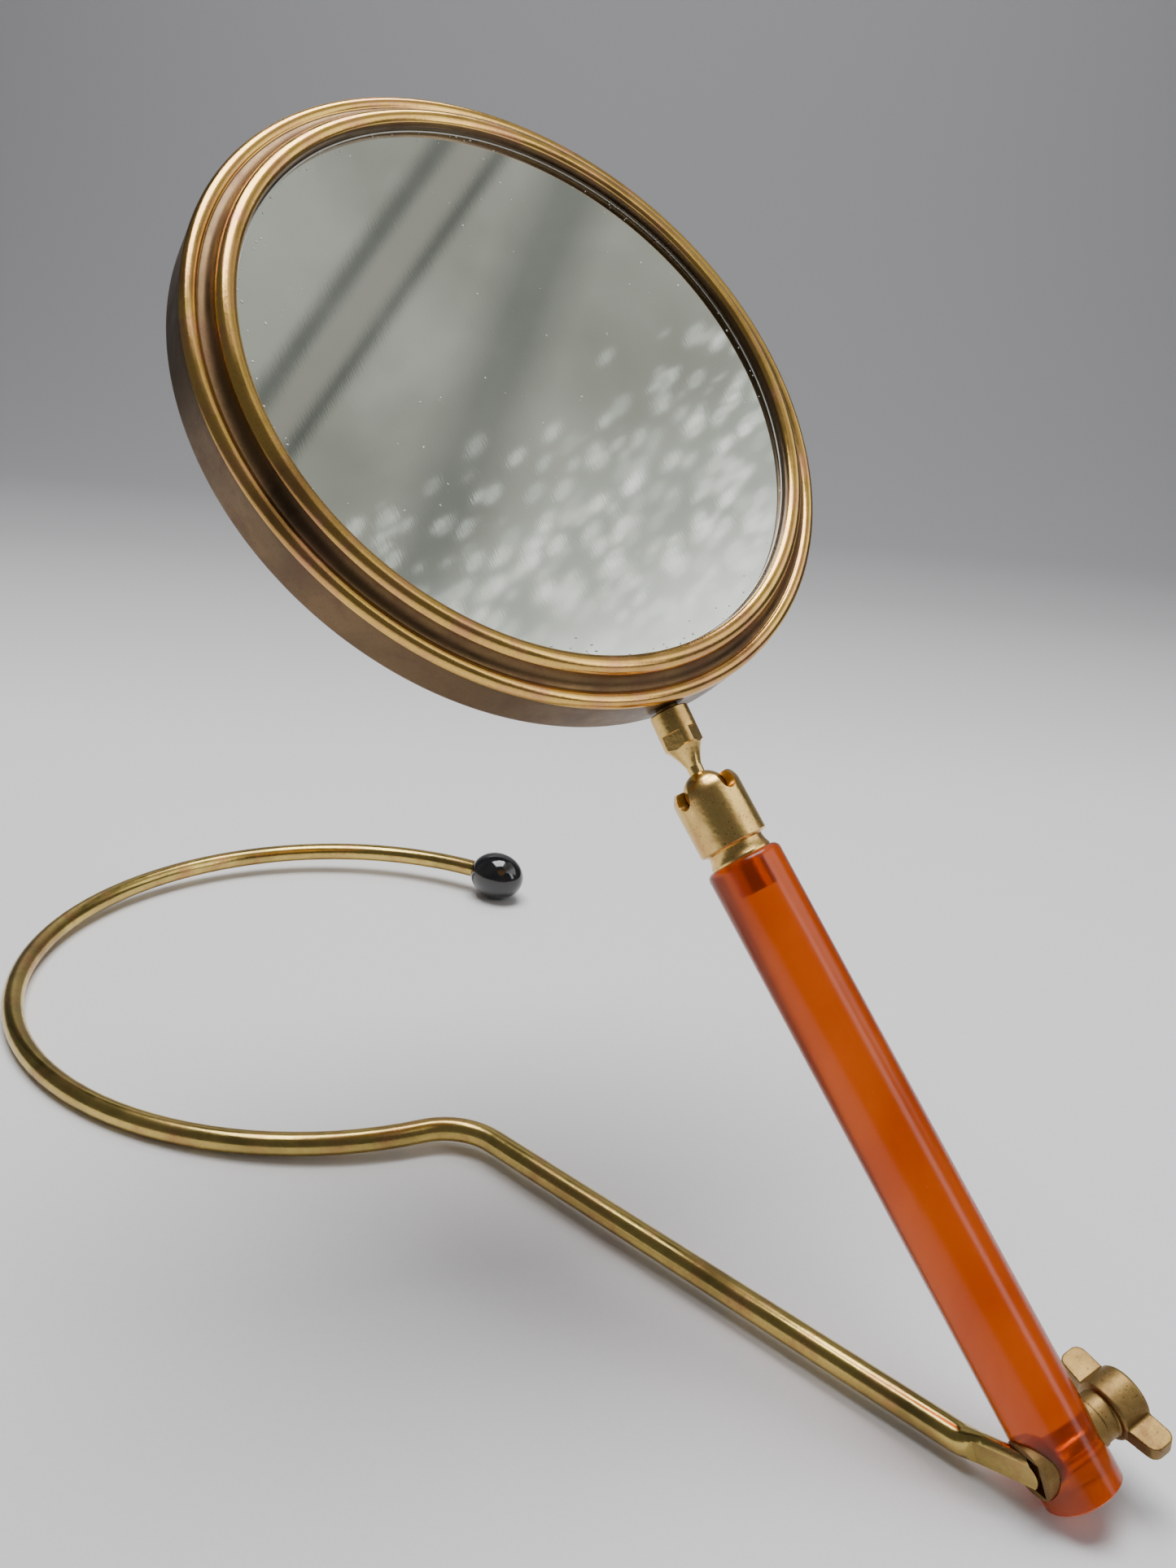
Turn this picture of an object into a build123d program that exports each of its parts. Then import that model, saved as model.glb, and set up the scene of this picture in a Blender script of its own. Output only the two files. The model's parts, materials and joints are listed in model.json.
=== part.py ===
"""Neck-hung shaving mirror: a looped brass rod, an amber handle on a wing-nut pivot, and a round
framed mirror on a crimped ball joint.  Millimetres, +Z up, the object stands on the plane z = 0.
The origin is below the centre of the neck loop, and +X runs along the straight shaft of the rod."""
from build123d import *

import os
from math import asin, atan2, cos, degrees, radians, sin, sqrt

# ---- driving dimensions ---------------------------------------------------------------------
# neck rod: a flat hook of round bar, lifted on one side by the ball on its tip
ROD_RADIUS = 2.5
LOOP_RADIUS = 75.2           # to the bar's centre line
TIP_ANGLE = 100.0            # where the hook ends, from +X
SHAFT_OFFSET = 20.5          # how far the shaft's line passes from the loop's centre
BEND_RADIUS = 14.0           # reverse bend between loop and shaft
SHAFT_END = 189.0            # x of the kink
KINK_RADIUS = 6.0
TIP_RADIUS = 7.0
TIP_LENGTH = 17.0

# flattened end of the bar, held in the slotted head of the pivot bolt
BLADE_LENGTH = 12.3          # kink to bolt axis
BLADE_SIDE = 6.0             # degrees the blade turns away from the handle
BLADE_WIDTH = 6.4
BLADE_THICKNESS = 2.4
BLADE_NOSE = 1.9             # how far the blade runs past the bolt axis
BLADE_OFFSET = 6.4           # handle axis to the blade's middle plane

# handle
HANDLE_RADIUS = 6.55
HANDLE_LENGTH = 110.8
HANDLE_ELEVATION = 48.3      # degrees above the table
HANDLE_YAW = 5.0             # degrees from the shaft's direction, seen from above
PIVOT_HEIGHT = 7.5           # bolt axis above the handle's lower end
PIVOT_TWIST = 30.6           # degrees the bolt is turned about the handle from level
END_CHAMFER = 0.4
SHOULDER_FILLET = 1.3

# clamp, along the bolt from the slotted head to the wing nut
SHANK_RADIUS = 2.45
RUNNING_GAP = 0.05
HEAD_RADIUS = 4.75
HEAD_FACE = 6.8              # handle axis to the head's slotted face
HEAD_SEAT = 3.0              # handle axis to the counterbore floor
BUSH_RADIUS = 3.2
NUT_SEAT = 4.4               # handle axis to the washer's seat
WASHER_RADIUS = 4.5
WASHER_THICKNESS = 0.9
SPRING_WASHER_THICKNESS = 1.2
NUT_NECK_RADIUS = 3.9
NUT_NECK_LENGTH = 2.5
NUT_HUB_RADIUS = 4.9
NUT_HUB_LENGTH = 5.6
WING_REACH = 9.6             # wing tip from the bolt axis
WING_THICKNESS = 2.8
WING_ANGLE = 30.5            # degrees of the wing line about the bolt
AXIAL_GAP = 0.08

# ball joint on top of the handle
BALL_RADIUS = 3.9
BALL_HEIGHT = 12.1           # ball centre above the handle's top
BALL_GAP = 0.1
COLLAR_RADIUS = 5.95
COLLAR_RIM = 1.9             # rim above the ball's centre
COLLAR_EDGE = 2.6            # lower edge of the barrel above the handle's top
COLLAR_FLARE = 5.3
COLLAR_WAIST = 4.85
NOTCH_RADIUS = 1.5
NOTCH_DEPTH = 3.2
NOTCH_ANGLE = 20.0
STUD_RADIUS = 2.5
STUD_DEPTH = 6.0

# stem between ball and frame
NECK_RADIUS = 1.33
STEM_RADIUS = 3.4
STEM_START = 8.6             # ball centre to the foot of the stem's cylinder
STEM_END = 15.2
STEM_FLAT = 2.9              # half the width across the spanner flats
FLAT_LENGTH = 2.7
STEM_TILT = 3.5              # degrees the stem leans from the handle's axis
HEAD_TURN = -74.1            # degrees the mirror faces, about the handle
SPIGOT_RADIUS = 1.95

# mirror head
FRAME_RADIUS = 59.7
FRAME_CENTRE = 75.4          # ball centre to the frame's centre
FRAME_BACK = -3.4
SHEET = 0.8
SIGHT_RADIUS = 51.7          # inner edge of the frame's lip
GLASS_RADIUS = 54.6
GLASS_FRONT = 5.6            # in front of the stem's axis
GLASS_THICKNESS = 2.6
GASKET_THICKNESS = 0.3
CARD_THICKNESS = 0.6
CLIP_THICKNESS = 0.8
COVER_THICKNESS = 0.6

# ---- frames ---------------------------------------------------------------------------------
tip_y = LOOP_RADIUS * sin(radians(TIP_ANGLE))
arm_tilt = asin((TIP_RADIUS - ROD_RADIUS) / (tip_y + LOOP_RADIUS))
arm_frame = Plane(
    origin=(0, 0, ROD_RADIUS + LOOP_RADIUS * sin(arm_tilt)),
    x_dir=(1, 0, 0),
    z_dir=(0, -sin(arm_tilt), cos(arm_tilt)),
)
kink = arm_frame.from_local_coords(Vector(SHAFT_END, -SHAFT_OFFSET, 0))

elevation = radians(HANDLE_ELEVATION)
yaw = radians(HANDLE_YAW)
handle_dir = Vector(-cos(elevation) * cos(yaw), -cos(elevation) * sin(yaw), sin(elevation))
level_dir = handle_dir.cross(Vector(0, 0, 1)).normalized()
bolt_dir = level_dir.rotate(Axis((0, 0, 0), handle_dir), -PIVOT_TWIST)
# the handle's lower rim rests on the table
pivot_z = PIVOT_HEIGHT * sin(elevation) + (HANDLE_RADIUS - END_CHAMFER) * cos(elevation)
blade_rise = asin((pivot_z - BLADE_OFFSET * bolt_dir.Z - kink.Z) / BLADE_LENGTH)
side = radians(BLADE_SIDE)
blade_dir = Vector(cos(blade_rise) * cos(side), -cos(blade_rise) * sin(side), sin(blade_rise))
pivot = kink + blade_dir * BLADE_LENGTH + bolt_dir * BLADE_OFFSET
handle_frame = Plane(origin=pivot, x_dir=bolt_dir, z_dir=handle_dir)
kink_turn = radians(arm_frame.x_dir.get_angle(blade_dir))
kink_tangent = KINK_RADIUS * sin(kink_turn / 2) / cos(kink_turn / 2)
blade_normal = (bolt_dir - blade_dir * bolt_dir.dot(blade_dir)).normalized()
blade_frame = Plane(origin=kink, x_dir=blade_dir, z_dir=blade_normal)

handle_top = HANDLE_LENGTH - PIVOT_HEIGHT
ball_z = handle_top + BALL_HEIGHT
ball_centre = handle_frame.from_local_coords(Vector(0, 0, ball_z))
tilt = radians(STEM_TILT)
stem_dir = handle_frame.x_dir * sin(tilt) + handle_frame.z_dir * cos(tilt)
turn = radians(HEAD_TURN)
facing = handle_frame.x_dir * cos(turn) + handle_frame.y_dir * sin(turn)
face_dir = (facing - stem_dir * facing.dot(stem_dir)).normalized()
stem_frame = Plane(origin=ball_centre, x_dir=face_dir, z_dir=stem_dir)
mirror_frame = Plane(origin=ball_centre + stem_dir * FRAME_CENTRE, x_dir=stem_dir, z_dir=face_dir)

ALONG_X = (0, 90, 0)


def rod_along_x(radius, start, end):
    """A cylinder on the local X axis from start to end."""
    middle = Pos((start + end) / 2, 0, 0) * Rot(*ALONG_X)
    return middle * Cylinder(radius, end - start)


def disc(radius, low, high):
    """A cylinder on the local Z axis from low to high."""
    return Pos(0, 0, (low + high) / 2) * Cylinder(radius, high - low)


def revolved(points):
    """A ring or turned piece from (radius, height) corners."""
    outline = Polyline(*[(r, 0, z) for r, z in points], close=True)
    return revolve(make_face(outline), Axis.Z)


# ---- neck rod -------------------------------------------------------------------------------
def blade():
    """The bar's flattened end: drawn out oval, pressed flat on both faces, nose rounded."""
    neck = 5.0
    reach = BLADE_LENGTH + BLADE_NOSE
    oval_half = 1.75
    start = Plane.YZ.offset(kink_tangent) * Circle(ROD_RADIUS)
    full = Plane.YZ.offset(neck) * Ellipse(BLADE_WIDTH / 2, oval_half)
    body = loft([start, full]) + extrude(full, reach - neck)
    half = BLADE_THICKNESS / 2
    for face_side in (1, -1):
        shoulder = Polyline(
            (1.4, 3.2 * face_side),
            (3.4, half * face_side),
            (reach + 1, half * face_side),
            (reach + 1, 3.2 * face_side),
            close=True,
        )
        body -= extrude(Plane.XZ * make_face(shoulder), BLADE_WIDTH, both=True)
    nose_radius = BLADE_WIDTH / 2 + 0.6
    nose = Pos(reach - nose_radius, 0, 0) * Cylinder(nose_radius, 8)
    beyond = Pos(reach, 0, 0) * Box(2 * nose_radius, 4 * nose_radius, 8)
    return body - (beyond - nose)


def neck_rod():
    bend_y = -SHAFT_OFFSET - BEND_RADIUS
    bend_x = sqrt((LOOP_RADIUS + BEND_RADIUS) ** 2 - bend_y**2)
    leave = degrees(atan2(bend_y, bend_x))
    loop_arc = CenterArc((0, 0), LOOP_RADIUS, TIP_ANGLE, 360 + leave - TIP_ANGLE)
    bend_arc = CenterArc((bend_x, bend_y), BEND_RADIUS, 180 + leave, -90 - leave)
    shaft = Line((bend_x, -SHAFT_OFFSET), (SHAFT_END - kink_tangent, -SHAFT_OFFSET))
    flat_path = [arm_frame.location * edge for edge in (loop_arc, bend_arc, shaft)]
    shaft_dir = arm_frame.x_dir
    kink_arc = TangentArc(
        kink - shaft_dir * kink_tangent, kink + blade_dir * kink_tangent, tangent=shaft_dir
    )
    path = Wire(flat_path + [kink_arc])
    start = Plane(origin=path @ 0, z_dir=path % 0)
    bar = sweep(start * Circle(ROD_RADIUS), path=path)
    return bar + blade_frame.location * blade()


def loop_tip(bar):
    """Egg-shaped ball pushed on the end of the bar."""
    angle = radians(TIP_ANGLE)
    place = Pos(LOOP_RADIUS * cos(angle), LOOP_RADIUS * sin(angle), 0) * Rot(0, 0, TIP_ANGLE - 90)
    half = Line((-TIP_LENGTH / 2, 0), (TIP_LENGTH / 2, 0))
    crown = EllipticalCenterArc((0, 0), TIP_LENGTH / 2, TIP_RADIUS, start_angle=0, arc_size=180)
    egg = arm_frame.location * place * revolve(make_face(half + crown), Axis.X)
    return egg - bar


# ---- clamp, on the local X axis of the handle -----------------------------------------------
def clamp_bolt(bar):
    """Cheese-head bolt: the bar's blade is brazed into a slot that is open on one side."""
    shank_end = NUT_SEAT + WASHER_THICKNESS + SPRING_WASHER_THICKNESS + NUT_NECK_LENGTH + 5.2
    head = rod_along_x(HEAD_RADIUS, -HEAD_FACE, -HEAD_SEAT - AXIAL_GAP)
    bolt = head + rod_along_x(SHANK_RADIUS, -HEAD_SEAT - AXIAL_GAP, shank_end)
    toward = handle_frame.to_local_coords(kink) - handle_frame.to_local_coords(pivot)
    slot_angle = degrees(atan2(toward.Z, toward.Y))
    slot_end = 3.2
    slot = Pos(-HEAD_FACE, 3 - slot_end / 2 + 0.2, 0) * Box(3.6, 6 + slot_end, BLADE_WIDTH + 0.3)
    bolt -= Rot(slot_angle, 0, 0) * slot
    return handle_frame.location * bolt - bar


def bolt_bush():
    outer = rod_along_x(BUSH_RADIUS, -HEAD_SEAT + 0.02, NUT_SEAT - 0.02)
    bore = rod_along_x(SHANK_RADIUS + RUNNING_GAP, -HEAD_SEAT - 1, NUT_SEAT + 1)
    return handle_frame.location * (outer - bore)


def washer_start():
    return NUT_SEAT + AXIAL_GAP


def flat_washer():
    low = washer_start()
    ring = rod_along_x(WASHER_RADIUS, low, low + WASHER_THICKNESS)
    ring -= rod_along_x(SHANK_RADIUS + RUNNING_GAP, low - 1, low + 3)
    return handle_frame.location * ring


def spring_washer():
    """Split washer: one turn with a slanted gap."""
    low = washer_start() + WASHER_THICKNESS
    ring = rod_along_x(WASHER_RADIUS - 0.4, low, low + SPRING_WASHER_THICKNESS)
    ring -= rod_along_x(SHANK_RADIUS + RUNNING_GAP, low - 1, low + 3)
    split = Pos(low + SPRING_WASHER_THICKNESS / 2, 0, -4) * Rot(0, 0, 35) * Box(5, 0.6, 4)
    return handle_frame.location * (ring - split)


def nut_start():
    return washer_start() + WASHER_THICKNESS + SPRING_WASHER_THICKNESS + AXIAL_GAP


def wing_nut():
    """Cast wing nut: round neck, drum-shaped hub and two rounded wings."""
    neck_end = nut_start() + NUT_NECK_LENGTH
    hub_end = neck_end + NUT_HUB_LENGTH
    hub = rod_along_x(NUT_HUB_RADIUS, neck_end, hub_end)
    hub = fillet(hub.edges().filter_by(GeomType.CIRCLE), 0.6)
    nut = rod_along_x(NUT_NECK_RADIUS, nut_start(), neck_end + 0.5) + hub
    root, tip_low, tip_high = 3.0, 0.9, 0.2
    blank = Polyline(
        (neck_end + 0.1, root),
        (neck_end + tip_low, WING_REACH),
        (hub_end - tip_high, WING_REACH),
        (hub_end - 0.4, root),
        close=True,
    )
    wing = extrude(make_face(blank), WING_THICKNESS / 2, both=True)
    outer = [e for e in wing.edges().filter_by(Axis.Z) if e.center().Y > WING_REACH - 0.5]
    wing = fillet(outer, 1.6)
    lean = 12
    for turn_angle in (0, 180):
        nut += Rot(WING_ANGLE + turn_angle, 0, 0) * Pos(0, 0, 0.4) * Rot(lean, 0, 0) * wing
    nut -= rod_along_x(SHANK_RADIUS + RUNNING_GAP, nut_start() - 1, hub_end + 1)
    return handle_frame.location * nut


# ---- handle ---------------------------------------------------------------------------------
def amber_handle():
    rod = disc(HANDLE_RADIUS, -PIVOT_HEIGHT, handle_top)
    rims = rod.edges().filter_by(GeomType.CIRCLE).sort_by(Axis.Z)
    rod = chamfer(rims[0], END_CHAMFER)
    rims = rod.edges().filter_by(GeomType.CIRCLE).sort_by(Axis.Z)
    rod = fillet(rims[-1], SHOULDER_FILLET)
    rod -= rod_along_x(HEAD_RADIUS + 0.15, -HANDLE_RADIUS - 2, -HEAD_SEAT)
    rod -= rod_along_x(WASHER_RADIUS + 0.25, NUT_SEAT, HANDLE_RADIUS + 2)
    rod -= rod_along_x(BUSH_RADIUS, -HANDLE_RADIUS, HANDLE_RADIUS)
    rod -= disc(STUD_RADIUS, handle_top - STUD_DEPTH, handle_top + 1)
    return handle_frame.location * rod


# ---- ball joint, on the handle's axis -------------------------------------------------------
def handle_stud():
    return handle_frame.location * disc(STUD_RADIUS, handle_top - STUD_DEPTH, handle_top + 3.2)


def socket_collar():
    """Turned collar with a flared foot; its notched rim is crimped in over the ball."""
    base = handle_top
    rim = ball_z + COLLAR_RIM
    shoulder = ball_z - 0.4
    rim_radius = 5.1
    foot = Line((0, base), (COLLAR_FLARE, base))
    foot += Line((COLLAR_FLARE, base), (COLLAR_FLARE, base + 0.35))
    cove = ThreePointArc(
        (COLLAR_FLARE, base + 0.35),
        (COLLAR_WAIST + 0.12, base + 1.2),
        (COLLAR_WAIST, base + COLLAR_EDGE - 0.3),
    )
    edge = Polyline(
        (COLLAR_WAIST, base + COLLAR_EDGE - 0.3),
        (COLLAR_RADIUS - 0.25, base + COLLAR_EDGE),
        (COLLAR_RADIUS, base + COLLAR_EDGE + 0.25),
        (COLLAR_RADIUS, shoulder),
    )
    crimp = ThreePointArc((COLLAR_RADIUS, shoulder), (5.75, shoulder + 1.2), (rim_radius, rim))
    lid = Polyline((rim_radius, rim), (0, rim), (0, base))
    outline = make_face(Plane.XZ * (foot + cove + edge + crimp + lid))
    collar = revolve(outline, Axis.Z)
    bore = BALL_RADIUS + BALL_GAP
    bore_floor = base + 4.5
    collar -= disc(bore, bore_floor, ball_z) + Pos(0, 0, ball_z) * Sphere(bore)
    collar -= disc(STUD_RADIUS, base - 1, base + 3.2)
    for quarter in range(4):
        throat = Pos(5, 0, ball_z + COLLAR_RIM - NOTCH_DEPTH + NOTCH_RADIUS)
        notch = throat * Rot(*ALONG_X) * Cylinder(NOTCH_RADIUS, 6)
        notch += throat * Pos(0, 0, 3) * Box(6, 2 * NOTCH_RADIUS, 6)
        collar -= Rot(0, 0, NOTCH_ANGLE + 90 * quarter) * notch
    return handle_frame.location * collar


def socket_spring():
    """Dished steel washer that presses the friction cup against the ball."""
    low = handle_top + 4.55
    ring = revolved([(1.6, low + 0.7), (3.7, low), (3.7, low + 0.45), (1.6, low + 1.15)])
    return handle_frame.location * ring


def friction_cup():
    low = handle_top + 5.8
    cup = disc(BALL_RADIUS, low, ball_z - 0.8)
    cup -= Pos(0, 0, ball_z) * Sphere(BALL_RADIUS + BALL_GAP)
    return handle_frame.location * cup


def ball_stem():
    """Ball, thin neck, concave cone and cylinder with four spanner flats, bored for the spigot."""
    neck_low = sqrt(BALL_RADIUS**2 - NECK_RADIUS**2)
    neck_high = 5.0
    cone = ThreePointArc(
        (NECK_RADIUS, neck_high), (1.95, 6.6), (STEM_RADIUS - 0.35, STEM_START)
    )
    sides = Polyline(
        (STEM_RADIUS - 0.35, STEM_START),
        (STEM_RADIUS, STEM_START + 0.2),
        (STEM_RADIUS, STEM_END - 0.2),
        (STEM_RADIUS - 0.2, STEM_END),
        (0, STEM_END),
        (0, neck_low - 0.5),
        (NECK_RADIUS, neck_low - 0.5),
        (NECK_RADIUS, neck_high),
    )
    stem = revolve(make_face(Plane.XZ * (cone + sides)), Axis.Z) + Sphere(BALL_RADIUS)
    for quarter in range(4):
        flat = Pos(STEM_FLAT + 2, 0, STEM_START + FLAT_LENGTH / 2 - 1) * Box(4, 8, FLAT_LENGTH + 2)
        stem -= Rot(0, 0, 25 + 90 * quarter) * flat
    stem -= disc(SPIGOT_RADIUS + RUNNING_GAP, STEM_END - 3.8, STEM_END + 1)
    return stem_frame.location * stem


# ---- mirror head ----------------------------------------------------------------------------
def stem_spigot():
    low = STEM_END - 3.6
    high = FRAME_CENTRE - GLASS_RADIUS - 0.4
    return stem_frame.location * disc(SPIGOT_RADIUS, low, high)


def spigot_hole():
    """Hole for the spigot through the frame's side, in the mirror's frame."""
    reach = Pos(-FRAME_RADIUS, 0, 0) * Rot(*ALONG_X)
    return reach * Cylinder(SPIGOT_RADIUS + 0.02, 14)


def stem_boss():
    """Block inside the frame that the spigot is screwed into."""
    inner = GLASS_RADIUS + 0.3
    ring = disc(FRAME_RADIUS - SHEET - 0.05, -2.1, 2.6) - disc(inner, -3, 3)
    block = ring & (Pos(-FRAME_RADIUS, 0, 0) * Box(12, 13, 8))
    return mirror_frame.location * (block - spigot_hole())


def bezel_ring():
    """Rolled frame: side wall, outer bead, a cove rising to a higher inner bead, and a lip down
    to the glass.  The two beads stand at different heights, like a step."""
    wall_top = 4.0
    outer = FRAME_RADIUS
    inner = FRAME_RADIUS - SHEET
    lip_z = GLASS_FRONT + GASKET_THICKNESS
    skin = Line((outer, FRAME_BACK), (outer, wall_top))
    skin += ThreePointArc((outer, wall_top), (58.6, 5.4), (57.1, 4.9))
    skin += ThreePointArc((57.1, 4.9), (55.8, 5.4), (54.9, 6.8))
    skin += ThreePointArc((54.9, 6.8), (53.4, 8.1), (SIGHT_RADIUS + 0.1, 7.4))
    back = Polyline(
        (SIGHT_RADIUS + 0.1, 7.4),
        (SIGHT_RADIUS, lip_z),
        (SIGHT_RADIUS + 1.5, lip_z),
        (53.4, 7.1),
        (54.1, 6.7),
        (55.3, 4.9),
        (56.9, 4.1),
        (58.2, 4.5),
        (inner, 3.9),
        (inner, FRAME_BACK + 0.5),
        (inner - 0.9, FRAME_BACK + 0.5),
        (inner - 0.9, FRAME_BACK),
        (outer, FRAME_BACK),
    )
    ring = revolve(make_face(Plane.XZ * (skin + back)), Axis.Z)
    return mirror_frame.location * (ring - spigot_hole())


def glass_gasket():
    ring = disc(GLASS_RADIUS, GLASS_FRONT, GLASS_FRONT + GASKET_THICKNESS)
    ring -= disc(SIGHT_RADIUS + 0.3, GLASS_FRONT - 1, GLASS_FRONT + 1)
    return mirror_frame.location * ring


def mirror_glass():
    glass = disc(GLASS_RADIUS, GLASS_FRONT - GLASS_THICKNESS, GLASS_FRONT)
    rims = glass.edges().filter_by(GeomType.CIRCLE)
    return mirror_frame.location * chamfer(rims, 0.3)


def backing_card():
    top = GLASS_FRONT - GLASS_THICKNESS
    return mirror_frame.location * disc(GLASS_RADIUS, top - CARD_THICKNESS, top)


def retaining_clip():
    """Sprung flat ring behind the card, open at the bottom."""
    top = GLASS_FRONT - GLASS_THICKNESS - CARD_THICKNESS
    outer = FRAME_RADIUS - SHEET - 0.05
    ring = disc(outer, top - CLIP_THICKNESS, top) - disc(GLASS_RADIUS - 3, top - 3, top + 1)
    gap = Pos(-GLASS_RADIUS, 0, top) * Box(14, 16, 4)
    return mirror_frame.location * (ring - gap)


def rear_cover():
    """Thin pressed disc with one raised ring, held by the frame's turned-in edge."""
    edge = FRAME_RADIUS - SHEET - 0.05
    back = FRAME_BACK + 0.5
    front = back + COVER_THICKNESS
    outline = [(0, back), (edge, back), (edge, front), (0, front)]
    cover = revolved(outline)
    groove = revolved([(40.0, back - 1), (41.2, back - 1), (41.2, back + 0.25), (40.0, back + 0.25)])
    return mirror_frame.location * (cover - groove)


# ---- assembly -------------------------------------------------------------------------------
bar_solid = neck_rod()
nodes = {
    "neck_rod": bar_solid,
    "loop_tip": loop_tip(bar_solid),
    "clamp_bolt": clamp_bolt(bar_solid),
    "bolt_bush": bolt_bush(),
    "flat_washer": flat_washer(),
    "spring_washer": spring_washer(),
    "wing_nut": wing_nut(),
    "amber_handle": amber_handle(),
    "handle_stud": handle_stud(),
    "socket_collar": socket_collar(),
    "socket_spring": socket_spring(),
    "friction_cup": friction_cup(),
    "ball_stem": ball_stem(),
    "stem_spigot": stem_spigot(),
    "stem_boss": stem_boss(),
    "bezel_ring": bezel_ring(),
    "glass_gasket": glass_gasket(),
    "mirror_glass": mirror_glass(),
    "backing_card": backing_card(),
    "retaining_clip": retaining_clip(),
    "rear_cover": rear_cover(),
}

os.makedirs("parts", exist_ok=True)
for name, solid in nodes.items():
    export_step(solid, f"parts/{name}.step")

print("pivot", [round(c, 3) for c in pivot], "bolt", [round(c, 5) for c in bolt_dir])
print("handle", [round(c, 5) for c in handle_dir], "ball", [round(c, 3) for c in ball_centre])
print("tilt axis", [round(c, 5) for c in handle_frame.y_dir], "stem", [round(c, 5) for c in stem_dir])
print("mirror", [round(c, 3) for c in mirror_frame.origin], "faces", [round(c, 5) for c in face_dir])
print("kink", [round(c, 3) for c in kink], "blade", [round(c, 4) for c in blade_dir])
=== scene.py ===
"""Looks of the neck-hung shaving mirror: aged brass, clouded amber, old silvered glass, on a pale sweep."""
import json
from math import atan2, cos, pi, radians, sin
from random import Random

import bmesh
import bpy
from mathutils import Matrix, Vector


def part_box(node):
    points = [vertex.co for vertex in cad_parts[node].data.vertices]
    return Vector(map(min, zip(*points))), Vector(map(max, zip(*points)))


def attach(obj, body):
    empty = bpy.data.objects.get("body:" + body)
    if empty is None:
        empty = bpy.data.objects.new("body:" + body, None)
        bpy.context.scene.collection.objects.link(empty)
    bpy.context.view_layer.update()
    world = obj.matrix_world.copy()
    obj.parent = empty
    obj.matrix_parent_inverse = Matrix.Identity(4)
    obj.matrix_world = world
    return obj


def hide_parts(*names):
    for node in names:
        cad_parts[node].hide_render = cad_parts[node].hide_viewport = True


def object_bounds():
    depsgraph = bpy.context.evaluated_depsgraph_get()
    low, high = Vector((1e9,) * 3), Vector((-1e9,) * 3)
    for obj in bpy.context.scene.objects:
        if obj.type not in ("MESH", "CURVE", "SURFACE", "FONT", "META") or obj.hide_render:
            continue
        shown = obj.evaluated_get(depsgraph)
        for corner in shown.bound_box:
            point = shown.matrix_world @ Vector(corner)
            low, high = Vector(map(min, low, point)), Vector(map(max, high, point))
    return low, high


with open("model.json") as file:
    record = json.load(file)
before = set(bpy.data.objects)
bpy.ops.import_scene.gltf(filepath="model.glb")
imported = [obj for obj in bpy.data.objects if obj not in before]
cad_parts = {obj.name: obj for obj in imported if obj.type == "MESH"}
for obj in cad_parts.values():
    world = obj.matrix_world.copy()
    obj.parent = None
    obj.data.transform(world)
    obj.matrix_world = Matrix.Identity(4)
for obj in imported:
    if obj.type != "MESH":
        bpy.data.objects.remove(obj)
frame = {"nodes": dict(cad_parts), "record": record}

cad_box = [list(corner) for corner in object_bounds()]
MM = 0.001
FLOOR = cad_box[0][2]
RING_SEGMENTS = 320


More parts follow.
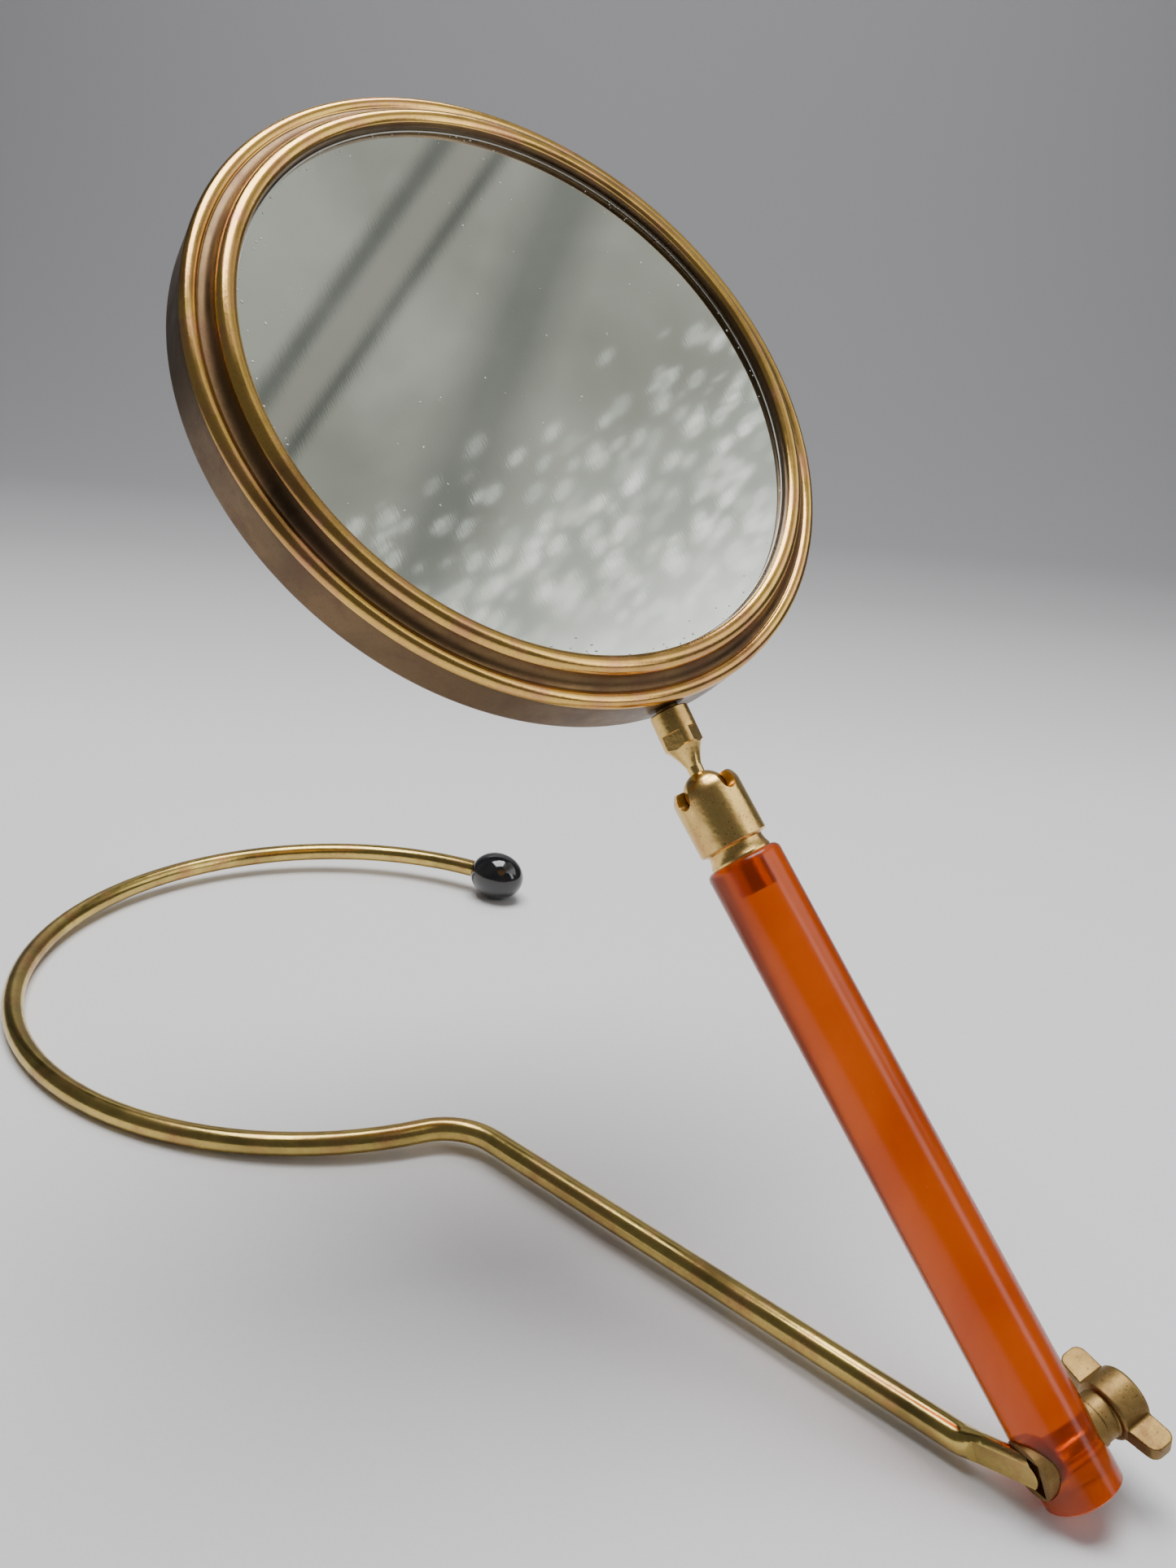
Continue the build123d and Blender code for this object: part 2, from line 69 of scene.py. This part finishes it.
# ---- node helpers ---------------------------------------------------------------------------
class Shader:
    """A material's node tree with short calls for the nodes this scene uses."""

    def __init__(self, name):
        self.material = bpy.data.materials.new(name)
        self.material.use_nodes = True
        self.tree = self.material.node_tree
        self.surface = self.tree.nodes["Principled BSDF"]
        self.place = self.tree.nodes.new("ShaderNodeTexCoord").outputs["Object"]

    def node(self, kind, **values):
        new = self.tree.nodes.new("ShaderNode" + kind)
        for key, value in values.items():
            if key in new.inputs:
                new.inputs[key].default_value = value
            else:
                setattr(new, key, value)
        return new

    def link(self, output, target):
        self.tree.links.new(output, target)

    def stretched(self, scale=(1, 1, 1), turn=(0, 0, 0), shift=(0, 0, 0)):
        mapping = self.node("Mapping")
        mapping.inputs["Scale"].default_value = scale
        mapping.inputs["Rotation"].default_value = turn
        mapping.inputs["Location"].default_value = shift
        self.link(self.place, mapping.inputs["Vector"])
        return mapping.outputs["Vector"]

    def noise(self, scale, detail=4.0, roughness=0.5, vector=None, distortion=0.0):
        new = self.node("TexNoise")
        new.inputs["Scale"].default_value = scale
        new.inputs["Detail"].default_value = detail
        new.inputs["Roughness"].default_value = roughness
        new.inputs["Distortion"].default_value = distortion
        self.link(vector or self.place, new.inputs["Vector"])
        return new.outputs["Fac"]

    def voronoi(self, scale):
        new = self.node("TexVoronoi")
        new.inputs["Scale"].default_value = scale
        self.link(self.place, new.inputs["Vector"])
        return new.outputs["Distance"]

    def ramp(self, value, *stops):
        new = self.node("ValToRGB")
        points = new.color_ramp.elements
        while len(points) < len(stops):
            points.new(0.5)
        for point, (position, colour) in zip(points, stops):
            point.position = position
            point.color = colour if len(colour) == 4 else (*colour, 1)
        self.link(value, new.inputs["Fac"])
        return new.outputs["Color"]

    def level(self, value, from_low, from_high, to_low=0.0, to_high=1.0):
        new = self.node("MapRange")
        new.inputs["From Min"].default_value = from_low
        new.inputs["From Max"].default_value = from_high
        new.inputs["To Min"].default_value = to_low
        new.inputs["To Max"].default_value = to_high
        self.link(value, new.inputs["Value"])
        return new.outputs["Result"]

    def mix(self, amount, first, second, blend="MIX"):
        new = self.node("Mix", data_type="RGBA", blend_type=blend)
        for value, socket in ((amount, new.inputs[0]), (first, new.inputs[6]), (second, new.inputs[7])):
            if isinstance(value, (float, int)):
                socket.default_value = value
            elif isinstance(value, tuple):
                socket.default_value = (*value, 1)
            else:
                self.link(value, socket)
        return new.outputs[2]

    def maths(self, operation, first, second=0.0):
        new = self.node("Math", operation=operation)
        for value, socket in ((first, new.inputs[0]), (second, new.inputs[1])):
            if isinstance(value, (float, int)):
                socket.default_value = value
            else:
                self.link(value, socket)
        return new.outputs[0]

    def bump(self, *layers):
        """Each layer is (height, strength, distance in metres)."""
        normal = None
        for height, strength, distance in layers:
            new = self.node("Bump")
            new.inputs["Strength"].default_value = strength
            new.inputs["Distance"].default_value = distance
            self.link(height, new.inputs["Height"])
            if normal:
                self.link(normal, new.inputs["Normal"])
            normal = new.outputs["Normal"]
        self.link(normal, self.surface.inputs["Normal"])

    def set(self, **values):
        for key, value in values.items():
            socket = self.surface.inputs[key.replace("_", " ")]
            if isinstance(value, (float, int)):
                socket.default_value = value
            elif isinstance(value, tuple):
                socket.default_value = (*value, 1) if len(value) == 3 and socket.type == "RGBA" else value
            else:
                self.link(value, socket)


# ---- materials ------------------------------------------------------------------------------
def aged_brass(name, bright, dull, blush, wear=0.5, rough=(0.22, 0.42), pits=0.5, streak=(1, 1, 1)):
    """Brass with clouds of brown and rose tarnish, fine pits and soft handling marks."""
    s = Shader(name)
    clouds = s.noise(48, 5, 0.6, distortion=0.5)
    patches = s.noise(150, 6, 0.65, vector=s.stretched(streak))
    grain = s.noise(2600, 3, 0.6, vector=s.stretched(streak))
    spots = s.voronoi(1100)
    colour = s.mix(s.level(clouds, 0.60 - 0.25 * wear, 0.70), bright, dull)
    colour = s.mix(s.level(patches, 0.48, 0.68, 0.0, 0.8), colour, blush)
    colour = s.mix(s.level(grain, 0.45, 0.75, 0.0, 0.35), colour, dull)
    freckles = s.level(spots, 0.06, 0.20, 0.7 * pits, 0.0)
    colour = s.mix(freckles, colour, tuple(c * 0.25 for c in dull))
    roughness = s.level(patches, 0.35, 0.7, *rough)
    s.set(Base_Color=colour, Metallic=1.0, Roughness=roughness)
    s.bump((grain, 0.12, 0.00006), (spots, 0.2 * pits, 0.0001), (clouds, 0.1, 0.0004))
    return s.material


def amber_resin():
    """Clouded amber rod: deep orange, milky inside, with flow bands and a few bubbles."""
    s = Shader("amber_resin")
    flow = s.noise(60, 3, 0.5, vector=s.stretched((1, 1, 0.25)), distortion=0.6)
    specks = s.voronoi(420)
    colour = s.mix(s.level(flow, 0.35, 0.7), (0.58, 0.075, 0.003), (0.74, 0.125, 0.006))
    bubbles = s.level(specks, 0.015, 0.035, 0.7, 0.0)
    colour = s.mix(bubbles, colour, (1.0, 0.55, 0.2))
    s.set(Base_Color=colour, Roughness=0.2, IOR=1.42, Transmission_Weight=0.74)
    s.set(Subsurface_Weight=1.0, Subsurface_Scale=0.005, Specular_IOR_Level=0.35)
    s.surface.inputs["Subsurface Radius"].default_value = (1.0, 0.26, 0.03)
    scratches = s.noise(700, 3, 0.6, vector=s.stretched((1, 1, 0.3)))
    s.bump((scratches, 0.08, 0.0001))
    return s.material


def black_gloss():
    s = Shader("black_gloss")
    haze = s.noise(260, 4, 0.6)
    s.set(Base_Color=s.mix(s.level(haze, 0.4, 0.8), (0.006, 0.006, 0.007), (0.022, 0.02, 0.02)))
    s.set(Roughness=s.level(haze, 0.3, 0.8, 0.07, 0.2), Coat_Weight=0.8, Coat_Roughness=0.05)
    s.bump((s.noise(500, 3, 0.5), 0.05, 0.0001))
    return s.material


def old_mirror():
    """Silvered glass with hairline scratches, dust and a soft grey-green cast."""
    s = Shader("old_mirror")
    haze = s.noise(28, 4, 0.55, distortion=0.3)
    scratch = s.noise(420, 2, 0.4, vector=s.stretched((1, 9, 1), (0.4, 0.2, 0.7)))
    dust = s.voronoi(420)
    colour = s.mix(s.level(haze, 0.3, 0.75), (0.70, 0.74, 0.70), (0.80, 0.84, 0.80))
    colour = s.mix(s.level(dust, 0.03, 0.06, 0.8, 0.0), colour, (0.97, 0.97, 0.95))
    s.set(Base_Color=colour, Metallic=1.0, Roughness=s.level(haze, 0.35, 0.8, 0.03, 0.07))
    s.bump((scratch, 0.012, 0.0001))
    return s.material


def flaked_silver():
    """Chipped silvering and dust, which catch the light."""
    s = Shader("flaked_silver")
    grain = s.noise(3000, 3, 0.6)
    s.set(Base_Color=s.mix(grain, (0.72, 0.72, 0.69), (0.95, 0.95, 0.92)), Metallic=0.3, Roughness=0.45)
    s.bump((grain, 0.2, 0.00005))
    return s.material


def worn_steel():
    s = Shader("worn_steel")
    clouds = s.noise(300, 4, 0.6)
    s.set(Base_Color=s.mix(clouds, (0.34, 0.33, 0.31), (0.55, 0.54, 0.52)), Metallic=1.0)
    s.set(Roughness=s.level(clouds, 0.3, 0.7, 0.25, 0.5))
    s.bump((s.noise(1800, 3, 0.6), 0.1, 0.0001))
    return s.material


def fibre_card():
    s = Shader("fibre_card")
    fibres = s.noise(1500, 4, 0.7, vector=s.stretched((1, 0.2, 1)))
    s.set(Base_Color=s.mix(fibres, (0.20, 0.13, 0.07), (0.38, 0.27, 0.16)), Roughness=0.85)
    s.bump((fibres, 0.3, 0.0001))
    return s.material


rod_brass = aged_brass(
    "rod_brass", (0.69, 0.51, 0.15), (0.31, 0.225, 0.075), (0.49, 0.235, 0.105), 0.65, (0.17, 0.30), 0.25
)
frame_brass = aged_brass(
    "frame_brass", (0.80, 0.50, 0.13), (0.46, 0.25, 0.09), (0.66, 0.30, 0.17), 0.5, (0.14, 0.26), 0.3
)
# A darker copy of the frame's brass, used as painted shade on the bezel's wall and cove
painted_shade_brass = aged_brass(
    "painted_shade_brass", (0.17, 0.105, 0.05), (0.085, 0.055, 0.03), (0.14, 0.075, 0.045), 0.5, (0.30, 0.48), 0.4
)
turned_brass = aged_brass(
    "turned_brass", (0.90, 0.61, 0.20), (0.48, 0.29, 0.09), (0.64, 0.34, 0.13), 0.5, (0.20, 0.34), 1.0
)
cast_brass = aged_brass(
    "cast_brass", (0.30, 0.192, 0.066), (0.14, 0.085, 0.034), (0.20, 0.108, 0.05), 0.5, (0.42, 0.58), 1.0
)
flakes = flaked_silver()
amber = amber_resin()
black = black_gloss()
silver = old_mirror()
steel = worn_steel()
card = fibre_card()

finish_of_node = {
    "neck_rod": rod_brass,
    "loop_tip": black,
    "clamp_bolt": cast_brass,
    "bolt_bush": turned_brass,
    "flat_washer": cast_brass,
    "spring_washer": cast_brass,
    "wing_nut": cast_brass,
    "amber_handle": amber,
    "handle_stud": turned_brass,
    "socket_collar": turned_brass,
    "socket_spring": steel,
    "friction_cup": card,
    "ball_stem": turned_brass,
    "stem_spigot": cast_brass,
    "stem_boss": turned_brass,
    "bezel_ring": frame_brass,
    "glass_gasket": card,
    "mirror_glass": silver,
    "backing_card": card,
    "retaining_clip": steel,
    "rear_cover": frame_brass,
}
for node_name, material in finish_of_node.items():
    node = frame["nodes"][node_name]
    for slot in node.material_slots:
        slot.material = material


# ---- finer pieces ---------------------------------------------------------------------------
def new_object(name, mesh):
    obj = bpy.data.objects.new(name, mesh)
    bpy.context.scene.collection.objects.link(obj)
    return obj


def joint_axis(name):
    """The joint's direction, as the record gives it."""
    for joint in frame["record"]["behaviour"]["joints"]:
        if joint["name"] == name:
            return Vector(joint["axis"]).normalized()


def placed(origin, z_dir, x_dir):
    """Matrix of a local frame from its origin, z direction and rough x direction."""
    z_dir = z_dir.normalized()
    x_dir = (x_dir - z_dir * x_dir.dot(z_dir)).normalized()
    y_dir = z_dir.cross(x_dir)
    turn = Matrix((x_dir, y_dir, z_dir)).transposed().to_4x4()
    return Matrix.Translation(origin) @ turn


def glass_frame():
    """The mirror's frame: z out of the glass, x along the stem, origin in the glass's front face."""
    glass = frame["nodes"]["mirror_glass"]
    turn = glass.matrix_world.to_3x3()
    widest = max(glass.data.polygons, key=lambda p: p.area)
    normal = (turn @ widest.normal).normalized()
    points = [glass.matrix_world @ v.co for v in glass.data.vertices]
    glass_low, glass_high = (Vector(corner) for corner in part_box("mirror_glass"))
    centre = (glass_low + glass_high) / 2
    if normal.dot(joint_axis("arm_pivot").cross(joint_axis("ball_pan"))) < 0:
        normal = -normal
    front = max((p - centre).dot(normal) for p in points)
    return placed(centre + normal * front, normal, joint_axis("head_spin"))


def turned(name, outline, kinds, matrix):
    """A ring turned about the matrix's z from (radius, height) points in mm. Kinds are the material
    indices of the bands that start at each point."""
    mesh = bpy.data.meshes.new(name)
    count = len(outline)
    vertices = []
    for step in range(RING_SEGMENTS):
        angle = 2 * pi * step / RING_SEGMENTS
        vertices += [(r * MM * cos(angle), r * MM * sin(angle), z * MM) for r, z in outline]
    faces = []
    for step in range(RING_SEGMENTS):
        here, there = step * count, (step + 1) % RING_SEGMENTS * count
        for i in range(count):
            j = (i + 1) % count
            faces.append((here + i, there + i, there + j, here + j))
    mesh.from_pydata(vertices, [], faces)
    for face, kind in zip(mesh.polygons, kinds * RING_SEGMENTS):
        face.material_index = kind
    work = bmesh.new()
    work.from_mesh(mesh)
    bmesh.ops.recalc_face_normals(work, faces=work.faces)
    work.to_mesh(mesh)
    work.free()
    mesh.transform(matrix)
    mesh.shade_smooth()
    return new_object(name, mesh)


def arc(start, through, end, steps):
    """Points on the circle through three (radius, height) points, without the last one."""
    (ax, ay), (bx, by), (cx, cy) = start, through, end
    d = 2 * (ax * (by - cy) + bx * (cy - ay) + cx * (ay - by))
    a2, b2, c2 = ax * ax + ay * ay, bx * bx + by * by, cx * cx + cy * cy
    ux = (a2 * (by - cy) + b2 * (cy - ay) + c2 * (ay - by)) / d
    uy = (a2 * (cx - bx) + b2 * (ax - cx) + c2 * (bx - ax)) / d
    radius = ((ax - ux) ** 2 + (ay - uy) ** 2) ** 0.5
    first, mid, last = (atan2(y - uy, x - ux) for x, y in (start, through, end))
    sweep = (last - first) % (2 * pi)
    if (mid - first) % (2 * pi) > sweep:
        sweep -= 2 * pi
    turns = [first + sweep * k / steps for k in range(steps)]
    return [(ux + radius * cos(t), uy + radius * sin(t)) for t in turns]


glass_place = glass_frame()


def add_bezel():
    """The rolled frame, with crisp beads, and painted shade on the wall and cove, which take a darker copy
    of the brass. Points are (radius, height above the glass) in mm, and the wall is a hair inside the CAD
    ring's."""
    wall = [(59.68, -9.0), (59.68, -8.7), (59.66, -6), (59.66, -3)]
    bead = arc((59.68, -1.6), (58.6, -0.2), (57.1, -0.7), 14)
    cove = arc((57.1, -0.7), (55.8, -0.2), (54.9, 1.2), 10)
    inner = arc((54.9, 1.2), (53.4, 2.5), (51.8, 1.8), 14)
    lip = [(51.8, 1.8), (51.74, 1.1), (51.7, 0.32)]
    inside = [(53.2, 0.32), (53.4, 1.5), (54.1, 1.1), (55.3, -0.7), (56.9, -1.5), (58.2, -1.1)]
    inside += [(58.9, -1.7), (58.9, -8.5), (58.0, -8.5), (58.0, -9.0)]
    # The dark bands carry the painted shade; the bright bands are the frame's own brass.
    bright, dark = 0, 1
    bands = ((wall, dark), (bead, bright), (cove, dark), (inner, bright), (lip + inside, dark))
    outline = [point for points, kind in bands for point in points]
    kinds = [kind for points, kind in bands for point in points]
    bezel = turned("bezel", outline, kinds, glass_place)
    bezel.data.materials.append(frame_brass)
    bezel.data.materials.append(painted_shade_brass)
    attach(bezel, "head")
    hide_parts("bezel_ring")


def add_edge_flakes():
    """A thin bright line of bare glass edge, with chipped silvering and dust just inside it."""
    line = [(51.35, 0.02), (51.62, 0.02), (51.62, 0.06), (51.35, 0.06)]
    ring = turned("glass_edge", line, [0] * len(line), glass_place)
    ring.data.materials.append(flakes)
    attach(ring, "head")
    chance = Random(7)
    count, count_near_edge, widest_reach = 150, 105, 51.2
    work = bmesh.new()
    for number in range(count):
        angle = chance.uniform(0, 2 * pi)
        near_edge = number < count_near_edge
        inset = chance.expovariate(0.9) if near_edge else chance.uniform(3, 45)
        reach = widest_reach - min(inset, 50)
        size = chance.uniform(0.07, 0.2) * (1.0 if near_edge else 0.8)
        spot = Matrix.Translation((reach * cos(angle) * MM, reach * sin(angle) * MM, 0.03 * MM))
        spot = spot @ Matrix.Rotation(chance.uniform(0, pi), 4, "Z")
        stretch = chance.uniform(1.0, 2.2)
        spot = spot @ Matrix.Diagonal((size * stretch * MM, size * MM, 0.03 * MM, 1))
        bmesh.ops.create_icosphere(work, subdivisions=1, radius=1.0, matrix=spot)
    mesh = bpy.data.meshes.new("silver_flakes")
    work.to_mesh(mesh)
    work.free()
    mesh.transform(glass_place)
    mesh.shade_smooth()
    mesh.materials.append(flakes)
    dots = new_object("silver_flakes", mesh)
    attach(dots, "head")


def blend_casting(node_name, voxel, rounds):
    """Blends a casting's corners with modifiers, as sand moulding leaves them."""
    obj = frame["nodes"][node_name]
    remesh = obj.modifiers.new("cast_skin", "REMESH")
    remesh.mode = "VOXEL"
    remesh.voxel_size = voxel * MM
    remesh.use_smooth_shade = True
    smooth = obj.modifiers.new("cast_blend", "SMOOTH")
    smooth.iterations = rounds
    smooth.factor = 0.5


def wear_edges(node_name, width):
    """Rounds a turned piece's edges with a small bevel."""
    bevel = frame["nodes"][node_name].modifiers.new("worn_edges", "BEVEL")
    bevel.width = width * MM
    bevel.segments = 3
    bevel.limit_method = "ANGLE"
    bevel.angle_limit = radians(35)
    bevel.harden_normals = True


add_bezel()
add_edge_flakes()
blend_casting("wing_nut", voxel=0.14, rounds=7)
wear_edges("socket_collar", 0.12)
wear_edges("clamp_bolt", 0.15)


# ---- studio ---------------------------------------------------------------------------------
AZIMUTH = radians(39.9)      # the camera looks this far to the left of +Y
PITCH = radians(18.97)
ROLL = radians(5.45)
EYE = Vector((0.242856, -0.192968, 0.166121))
look = Vector((-sin(AZIMUTH) * cos(PITCH), cos(AZIMUTH) * cos(PITCH), -sin(PITCH)))
camera_turn = look.to_track_quat("-Z", "Y").to_matrix().to_4x4() @ Matrix.Rotation(ROLL, 4, "Z")


def add_camera():
    data = bpy.data.cameras.new("camera")
    data.sensor_width = 36
    data.lens = 30.08
    data.clip_start = 0.01
    camera = new_object("camera", data)
    camera.matrix_world = Matrix.Translation(EYE) @ camera_turn
    bpy.context.scene.camera = camera


def add_sweep():
    """Seamless pale paper: a flat floor that curves up behind the object into a backdrop, with painted
    shade that deepens with distance, standing in for the light falling off.
    """
    back = 0.9
    radius = 1.2
    ahead = Vector((look.x, look.y, 0)).normalized()
    across = Vector((ahead.y, -ahead.x, 0))
    profile = [(-2.5, 0.0), (-1, 0), (0, 0), (0.4, 0), (back, 0.0)]
    steps = 24
    for step in range(1, steps + 1):
        angle = pi / 2 * step / steps
        profile.append((back + radius * sin(angle), radius * (1 - cos(angle))))
    profile.append((back + radius, 4.0))
    mesh = bpy.data.meshes.new("sweep")
    edge = [[ahead * d + across * side for d, z in profile] for side in (-4.0, 4.0)]
    vertices = [Vector((p.x, p.y, FLOOR + z)) for row in edge for p, (d, z) in zip(row, profile)]
    count = len(profile)
    faces = [(i, i + 1, count + i + 1, count + i) for i in range(count - 1)]
    mesh.from_pydata(vertices, [], faces)
    mesh.shade_smooth()
    sweep = new_object("sweep", mesh)
    s = Shader("sweep_paper")
    split = s.node("SeparateXYZ")
    turned_place = s.stretched((1, 1, 1), (0, 0, -AZIMUTH - radians(4)))
    s.link(turned_place, split.inputs[0])
    fibre = s.noise(900, 4, 0.7)
    # Painted shade: the paper's colour falls from near white to mid grey along the view, standing in for
    # the light's fall-off
    shade = s.ramp(
        s.level(split.outputs["Y"], 0.0, 2.4),
        (0.0, (0.94, 0.94, 0.955)), (0.08, (0.90, 0.90, 0.91)), (0.15, (0.72, 0.72, 0.73)),
        (0.26, (0.50, 0.50, 0.51)), (0.38, (0.40, 0.40, 0.41)), (1.0, (0.41, 0.41, 0.42)),
    )
    s.set(Base_Color=s.mix(s.level(fibre, 0.3, 0.7, 0.0, 0.05), shade, (0.3, 0.3, 0.3)), Roughness=0.8)
    s.bump((fibre, 0.06, 0.0002))
    mesh.materials.append(s.material)


def add_light(name, size, power, place, aim, colour=(1, 1, 1)):
    data = bpy.data.lights.new(name, "AREA")
    data.shape = "RECTANGLE"
    data.size, data.size_y = size
    data.energy = power
    data.color = colour
    lamp = new_object(name, data)
    turn = (aim - place).to_track_quat("-Z", "Y").to_matrix().to_4x4()
    lamp.matrix_world = Matrix.Translation(place) @ turn
    return lamp


def glints(s, place, size, shift, density):
    """Soft-edged oval spots, one in some of the cells of a pattern."""
    spots = s.node("TexVoronoi")
    spots.inputs["Scale"].default_value = size
    leaning = s.node("Mapping")
    leaning.inputs["Rotation"].default_value = (0, 0, radians(33))
    leaning.inputs["Location"].default_value = (shift, shift * 0.7, 0)
    s.link(place, leaning.inputs["Vector"])
    oval = s.node("Mapping")
    oval.inputs["Scale"].default_value = (1, 0.52, 1)
    s.link(leaning.outputs["Vector"], oval.inputs["Vector"])
    s.link(oval.outputs["Vector"], spots.inputs["Vector"])
    inside = s.level(spots.outputs["Distance"], 0.30, 0.36, 1.0, 0.0)
    rim = s.level(spots.outputs["Distance"], 0.16, 0.32, 0.55, 1.0)
    shape = s.maths("MULTIPLY", inside, rim)
    pick = s.node("SeparateColor")
    s.link(spots.outputs["Color"], pick.inputs[0])
    chosen = s.maths("LESS_THAN", pick.outputs[0], density)
    strength = s.level(pick.outputs[1], 0.0, 1.0, 0.25, 1.0)
    return s.maths("MULTIPLY", s.maths("MULTIPLY", shape, chosen), strength)


def add_reflection():
    """The room that the mirror shows: a grey-green wall with blurred bars and sunlit glints."""
    normal = glass_place.to_3x3() @ Vector((0, 0, 1))
    centre = glass_place.translation

    def mirrored(v):
        return v - 2 * v.dot(normal) * normal

    eye = centre + mirrored(EYE - centre)
    ray = (centre - eye).normalized()
    across = mirrored(camera_turn.to_3x3() @ Vector((1, 0, 0)))
    upward = mirrored(camera_turn.to_3x3() @ Vector((0, 1, 0)))
    back = across.cross(upward).normalized()
    turn = Matrix((across, upward, back)).transposed().to_4x4()
    distance = 1.05
    half = 0.5
    depth = ray.dot(back)
    mesh = bpy.data.meshes.new("room_panel")
    corners = [(-half, -half, 0), (half, -half, 0), (half, half, 0), (-half, half, 0)]
    mesh.from_pydata(corners, [], [(0, 1, 2, 3)])
    panel = new_object("room_panel", mesh)
    panel.matrix_world = Matrix.Translation(eye + ray * distance / abs(depth)) @ turn
    panel.visible_camera = False
    panel.visible_shadow = False
    panel.visible_diffuse = False
    s = Shader("room_panel")
    place = s.stretched((15.3 / distance, 15.3 / distance, 1))
    split = s.node("SeparateXYZ")
    s.link(place, split.inputs[0])
    x, y = split.outputs["X"], split.outputs["Y"]
    cloud = s.noise(0.55, 3, 0.5, vector=place, distortion=0.5)

    def along(a, b):
        return s.maths("ADD", s.maths("MULTIPLY", x, a), s.maths("MULTIPLY", y, b))

    def band(value, at, half_width, soft):
        away = s.maths("ABSOLUTE", s.maths("SUBTRACT", value, at))
        return s.level(away, half_width, half_width + soft, 1.0, 0.0)

    bars, stripe = along(0.816, -0.578), along(0.934, -0.358)
    colour = s.mix(s.level(cloud, 0.3, 0.7), (0.235, 0.237, 0.205), (0.36, 0.36, 0.325))
    colour = s.mix(s.maths("MULTIPLY", band(bars, -2.52, 0.05, 0.16), 0.75), colour, (0.06, 0.062, 0.06))
    colour = s.mix(s.maths("MULTIPLY", band(bars, -2.18, 0.12, 0.10), 0.8), colour, (0.26, 0.24, 0.215))
    colour = s.mix(s.maths("MULTIPLY", band(bars, -1.90, 0.02, 0.14), 0.8), colour, (0.05, 0.052, 0.05))
    colour = s.mix(s.maths("MULTIPLY", band(stripe, -0.45, 0.15, 0.5), 0.6), colour, (0.09, 0.095, 0.088))
    corner = along(0.524, -0.852)
    haze = s.level(corner, 1.0, 3.8, 0.0, 0.85)
    colour = s.mix(haze, colour, (0.60, 0.61, 0.58))
    colour = s.mix(s.level(corner, 2.4, 3.8, 0.0, 0.95), colour, (1.15, 1.15, 1.12))
    few = s.level(corner, 0.0, 2.4, 0.0, 1.0)
    near = s.maths("ADD", glints(s, place, 4.6, 0.0, few), glints(s, place, 4.0, 5.3, few))
    far = s.maths("ADD", glints(s, place, 5.4, 9.1, few), glints(s, place, 5.0, 3.7, few))
    sunlit = s.maths("MULTIPLY", s.maths("ADD", near, far), s.level(corner, 0.5, 3.0, 0.5, 0.95))
    colour = s.mix(sunlit, colour, (1.15, 1.15, 1.1))
    s.set(Base_Color=(0, 0, 0), Roughness=1.0, Emission_Color=colour, Emission_Strength=1.5)
    s.surface.inputs["Specular IOR Level"].default_value = 0.0
    mesh.materials.append(s.material)


add_camera()
add_sweep()
add_reflection()
add_light("top_softbox", (0.8, 0.6), 14.5, Vector((-0.08, 0.08, 1.15)), Vector((0.06, 0.0, 0)))
add_light("side_softbox", (0.25, 0.7), 1.6, Vector((0.95, 0.25, 0.55)), Vector((0.1, 0, 0.08)))
backdrop_light = add_light(
    "backdrop_light", (2.4, 0.5), 19.5, Vector((-1.05, 1.1, 1.9)), Vector((-1.35, 1.8, 0.7))
)
backdrop_light.visible_glossy = False
world = bpy.data.worlds.new("studio")
bpy.context.scene.world = world
world.use_nodes = True
world.node_tree.nodes["Background"].inputs["Color"].default_value = (0.75, 0.77, 0.80, 1)
world.node_tree.nodes["Background"].inputs["Strength"].default_value = 0.16
